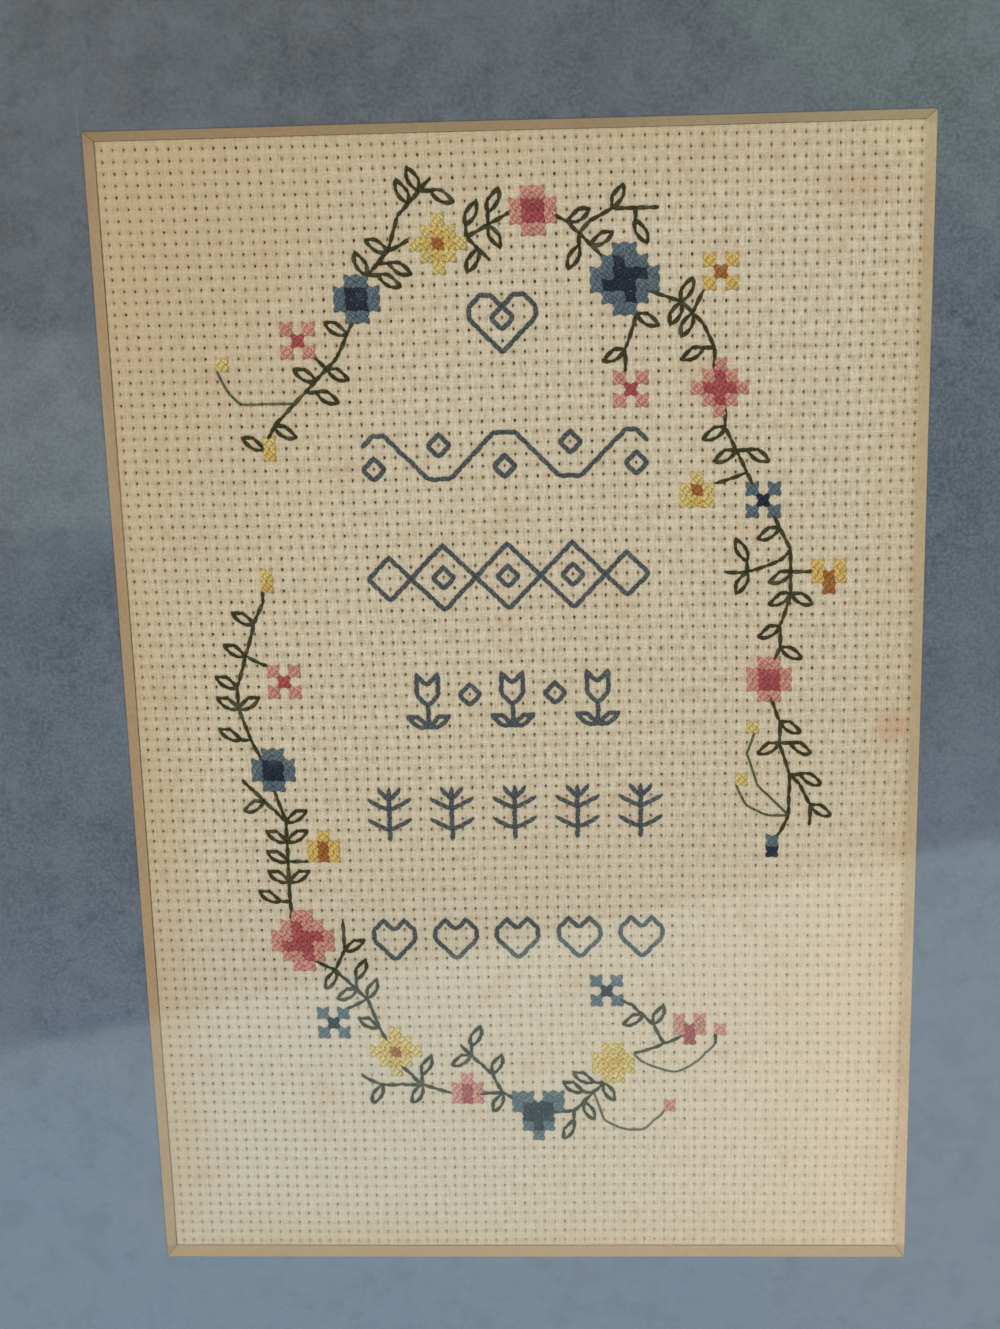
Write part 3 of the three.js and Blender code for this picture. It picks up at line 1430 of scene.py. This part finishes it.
@dataclass
class Design:
    """The whole stitched design: the garland's flowers, stems and leaves, and the rows inside it."""

    blooms: tuple[Bloom, ...] = (
        Bloom(Chart.BUD, Hue.SUN, OVAL.at(-58)),
        Bloom(Chart.STAR, Hue.ROSE, OVAL.at(-44, 4)),
        Bloom(Chart.ROSETTE, Hue.BLUE, OVAL.at(-33)),
        Bloom(Chart.DAISY, Hue.SUN, OVAL.at(-14)),
        Bloom(Chart.ROSETTE, Hue.ROSE, OVAL.at(5)),
        Bloom(Chart.WHEEL, Hue.BLUE, OVAL.at(26)),
        Bloom(Chart.STAR, Hue.AMBER, OVAL.at(38, 4)),
        Bloom(Chart.DAISY, Hue.ROSE, OVAL.at(50)),
        Bloom(Chart.BLOSSOM, Hue.SUN, OVAL.at(60, -4)),
        Bloom(Chart.STAR, Hue.BLUE, OVAL.at(67)),
        Bloom(Chart.TULIP, Hue.AMBER, OVAL.at(78, 4)),
        Bloom(Chart.ROSETTE, Hue.ROSE, OVAL.at(90)),
        Bloom(Chart.BUD, Hue.BLUE, OVAL.at(112)),
        Bloom(Chart.TULIP, Hue.ROSE, OVAL.at(141)),
        Bloom(Chart.ROSETTE, Hue.SUN, OVAL.at(158)),
        Bloom(Chart.PANSY, Hue.BLUE, OVAL.at(177)),
        Bloom(Chart.BLOSSOM, Hue.ROSE, OVAL.at(195)),
        Bloom(Chart.DAISY, Hue.SUN, OVAL.at(211)),
        Bloom(Chart.STAR, Hue.BLUE, OVAL.at(222, 4)),
        Bloom(Chart.WHEEL, Hue.ROSE, OVAL.at(235)),
        Bloom(Chart.BLOSSOM, Hue.AMBER, OVAL.at(247, -4)),
        Bloom(Chart.ROSETTE, Hue.BLUE, OVAL.at(259)),
        Bloom(Chart.STAR, Hue.ROSE, OVAL.at(271, -4)),
        Bloom(Chart.BUD, Hue.SUN, OVAL.at(285)),
    )
    vines: tuple[Vine, ...] = (
        *GARLANDS,
        Shoot(-23, -52, 9, 8),
        Shoot(-8, 62, -8, 5),
        Shoot(16, -72, 9, 8),
        Shoot(31, 70, -3, 9, tip=(Chart.STAR, Hue.ROSE)),
        Shoot(72, 60, 8, 6.5),
        Shoot(100, -50, 8, 6),
        Shoot(150, 110, -6, 8, tip=(Chart.STAR, Hue.BLUE)),
        Shoot(188, 60, -7, 8),
        Shoot(204, -50, 7, 7),
        Shoot(228, 60, -6, 6),
        Shoot(252, -50, 7, 7),
        Shoot(155, -95, -12, 11, tip=(Chart.BERRY, Hue.ROSE), tendril=True),
        Shoot(164, -66, -15, 10, tip=(Chart.BERRY, Hue.ROSE), tendril=True),
        Shoot(106, 110, 8, 10, tip=(Chart.BERRY, Hue.SUN), tendril=True),
        Shoot(106, 70, 14, 7, tip=(Chart.BERRY, Hue.SUN), tendril=True),
        Shoot(-50, -160, 12, 10, tip=(Chart.BERRY, Hue.SUN), tendril=True),
    )

    def work(self, stitcher: Stitcher) -> None:
        """Stitches the design.

        Args:
            stitcher: the stitcher.
        """
        blooms = [*self.blooms, *(bloom for vine in self.vines for bloom in vine.flower())]
        for vine in self.vines:
            vine.stem(stitcher, blooms)
        stems = set(stitcher.stitched)
        for bloom in blooms:
            bloom.work(stitcher, stems)
        Bands(stitcher).work()
        for vine in self.vines:
            if not vine.tendril:
                vine.leaves(stitcher, blooms)


# Mat, glass, board and frame


@dataclass
class MatBoard:
    """The mat: a core with a window cut at 45 degrees, under its facing paper."""

    grid: Grid
    low: Vector
    high: Vector
    paper: float = 0.16 * MM
    steps: int = 40
    waver: float = 0.035 * MM
    seed: int = 3

    def ring(self, half_width: float, half_height: float, z: float, waver: float) -> list[tuple]:
        """Gives a rectangle's points, evenly stepped along each side.

        Args:
            half_width: half its width.
            half_height: half its height.
            z: its height.
            waver: how far its sides stray, as a knife does.

        Returns:
            The points, anticlockwise from the lower left corner.
        """
        corners = [(-1, -1), (1, -1), (1, 1), (-1, 1), (-1, -1)]
        points = []
        rng = random.Random(self.seed)
        for side, ((x0, y0), (x1, y1)) in enumerate(zip(corners, corners[1:])):
            phase = rng.uniform(0, 6)
            for step in range(self.steps):
                share = step / self.steps
                x = half_width * (x0 + (x1 - x0) * share)
                y = half_height * (y0 + (y1 - y0) * share)
                stray = waver * math.sin(share * math.pi) * math.sin(share * 9 + phase)
                if side % 2 == 0:
                    y += stray
                else:
                    x += stray
                points.append((x, y, z))
        return points

    def slab(self, name: str, base: float, top: float, material: bpy.types.Material,
             slot: str) -> bpy.types.Object:
        """Builds one layer of the mat, with the window's slope through it.

        Args:
            name: the piece's name.
            base: the layer's lower height.
            top: its upper height.
            material: its material.
            slot: the record's slot for it.

        Returns:
            The layer.
        """
        reach_x, reach_y = self.high.x, self.high.y
        half_x, half_y = self.grid.window_width / 2, self.grid.window_height / 2
        rise_base, rise_top = base - self.low.z, top - self.low.z
        rings = [
            self.ring(reach_x, reach_y, base, 0),
            self.ring(reach_x, reach_y, top, 0),
            self.ring(half_x + rise_top, half_y + rise_top, top, self.waver),
            self.ring(half_x + rise_base, half_y + rise_base, base, self.waver),
        ]
        points = [point for ring in rings for point in ring]
        around = len(rings[0])
        faces = []
        for layer in range(4):
            first, second = layer * around, (layer + 1) % 4 * around
            for i in range(around):
                j = (i + 1) % around
                faces.append([first + i, first + j, second + j, second + i])
        return make_piece(name, points, faces, material, slot)

    def build(self) -> list[bpy.types.Object]:
        """Builds the core and the paper.

        Returns:
            The pieces.
        """
        seam = self.high.z - self.paper
        core = self.slab("mat_core", self.low.z, seam, MatCore().material(), "mat_core")
        face = self.slab("mat_face_paper", seam, self.high.z, MatPaper().material(), "mat_paper")
        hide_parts("mat_board")
        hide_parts("mat_board")
        return [core, face]


@dataclass(frozen=True)
class Framing:
    """The wooden rails, the glass and the backing board, which keep their solids and are dressed."""

    smooth_angle: float = math.radians(35)

    def build(self) -> list[bpy.types.Object]:
        """Dresses every solid of the framing.

        Returns:
            The pieces.
        """
        finishes = {
            "rail_top": WalnutStain().material(Grain.ACROSS),
            "rail_left": WalnutStain().material(Grain.UP),
            "glazing": PictureGlass().material(),
            "backing_board": BrownBoard().material(),
        }
        finishes["rail_bottom"] = finishes["rail_top"]
        finishes["rail_right"] = finishes["rail_left"]
        pieces = []
        for node, material in finishes.items():
            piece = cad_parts[node]
            piece.data.materials.clear()
            piece.data.materials.append(material)
            if node.startswith("rail"):
                piece.data.shade_smooth()
                piece.data.set_sharp_from_angle(angle=self.smooth_angle)
            pieces.append(piece)
        return pieces


# Light, floor and camera


@dataclass(frozen=True)
class Softbox:
    """A large soft studio light."""

    name: str
    place: tuple[float, float, float]
    size: Point
    power: float
    colour: Colour = (1.0, 1.0, 1.0)
    down: bool = False  # straight down, rather than toward the sampler
    spin: float = 0.0  # degrees about the way it faces

    def build(self) -> bpy.types.Object:
        """Returns the light, set in its place and aimed."""
        lamp = bpy.data.lights.new(self.name, "AREA")
        lamp.shape = "RECTANGLE"
        lamp.size, lamp.size_y = self.size
        lamp.energy = self.power
        lamp.color = self.colour
        made = bpy.data.objects.new(self.name, lamp)
        made.location = self.place
        toward = Vector((0, 0, -1)) if self.down else -Vector(self.place)
        made.rotation_mode = "QUATERNION"
        spin = Quaternion((0, 0, 1), math.radians(self.spin))
        made.rotation_quaternion = toward.to_track_quat("-Z", "Y") @ spin
        bpy.context.scene.collection.objects.link(made)
        return made


@dataclass(frozen=True)
class Studio:
    """A pale floor, a soft key light, fills on each side, and the pale light that the glass mirrors."""

    lights: tuple[Softbox, ...] = (
        Softbox("key_light", (-0.69, 0.95, 3.0), (0.6, 0.6), 65.5, (1.0, 0.96, 0.91)),
        Softbox("left_fill", (-1.6, 0.0, 1.4), (1.0, 1.0), 2.4, (1.0, 0.95, 0.9)),
        Softbox("right_fill", (1.6, -0.2, 1.4), (1.0, 1.0), 7.0, (0.86, 0.94, 1.0)),
        Softbox("back_fill", (0.0, 1.9, 1.4), (1.0, 1.0), 3.4),
        Softbox("veil_light", (-0.02, -0.67, 1.0), (0.95, 0.45), 1.4, (0.73, 1.0, 0.98), True, 12.5),
        Softbox("veil_corner", (0.46, -0.6, 1.0), (0.5, 0.5), 0.6, (1.0, 0.6, 0.25), True, 12.5),
        Softbox("left_glow", (-0.46, -0.08, 1.0), (0.3, 0.13), 0.08, (0.81, 1.0, 0.93), True),
        Softbox("green_glow", (0.3, 0.2, 1.0), (0.4, 0.3), 0.14, (0.55, 1.0, 0.4), True, -39.0),
    )
    ambient: Colour = (0.072, 0.078, 0.088)
    floor_half: float = 3.0

    def build(self) -> None:
        """Sets up the lights, the floor and the picture's colour handling."""
        for light in self.lights:
            light.build()
        scene = bpy.context.scene
        scene.view_settings.view_transform = "Standard"
        world = bpy.data.worlds.new("studio")
        world.use_nodes = True
        world.node_tree.nodes["Background"].inputs["Color"].default_value = (*self.ambient, 1.0)
        scene.world = world
        half = self.floor_half
        corners = [(-half, -half, 0), (half, -half, 0), (half, half, 0), (-half, half, 0)]
        floor = make_piece("floor", corners, [[0, 1, 2, 3]], PaleFloor().material())
        report(floor)


@dataclass(frozen=True)
class PhotoCamera:
    """The camera above the sampler, matched to the corners of the mat's window."""

    focal_px: float = 1930.0
    place: tuple[float, float, float] = (11.18 * MM, 81.29 * MM, 277.19 * MM)
    target: tuple[float, float, float] = (-2.76 * MM, 10.04 * MM, 0.0)
    roll: float = math.radians(-1.524)
    sensor: float = 36.0

    def build(self, level: float) -> bpy.types.Object:
        """Makes the camera.

        Args:
            level: the height of the window's foot, which the camera's place is counted from.

        Returns:
            The camera.
        """
        data = bpy.data.cameras.new("photo_camera")
        data.sensor_width = self.sensor
        data.lens = self.focal_px * self.sensor / IMAGE_HEIGHT
        data.clip_start = 0.01
        camera = bpy.data.objects.new("photo_camera", data)
        place = Vector(self.place) + Vector((0, 0, level))
        forward = (Vector(self.target) - Vector(self.place)).normalized()
        up = (Vector((0, 1, 0)) - forward * forward.y).normalized()
        side = forward.cross(up)
        right = side * math.cos(self.roll) + up * math.sin(self.roll)
        turned = Matrix((right, right.cross(forward), -forward)).transposed().to_4x4()
        camera.matrix_world = Matrix.Translation(place) @ turned
        bpy.context.scene.collection.objects.link(camera)
        bpy.context.scene.camera = camera
        return camera


def main() -> None:
    """Builds the sampler and its studio, in order."""
    logging.basicConfig(level=logging.INFO, format="%(name)s %(message)s")
    mat_low, mat_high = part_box("mat_board")
    cloth_low, cloth_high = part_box("embroidered_cloth")
    PhotoCamera().build(mat_low.z)
    Studio().build()
    grid = Grid()
    level = cloth_high.z - 0.1 * MM
    stitcher = Stitcher(grid, level)
    Design().work(stitcher)
    cloth = AidaCloth(grid, stitcher.stitched, level).build()
    report(cloth)
    stitches = stitcher.pieces()
    for piece in stitches:
        report(piece)
    for piece in MatBoard(grid, mat_low, mat_high).build():
        report(piece)
    for piece in Framing().build():
        report(piece)


if __name__ == "__main__":
    main()
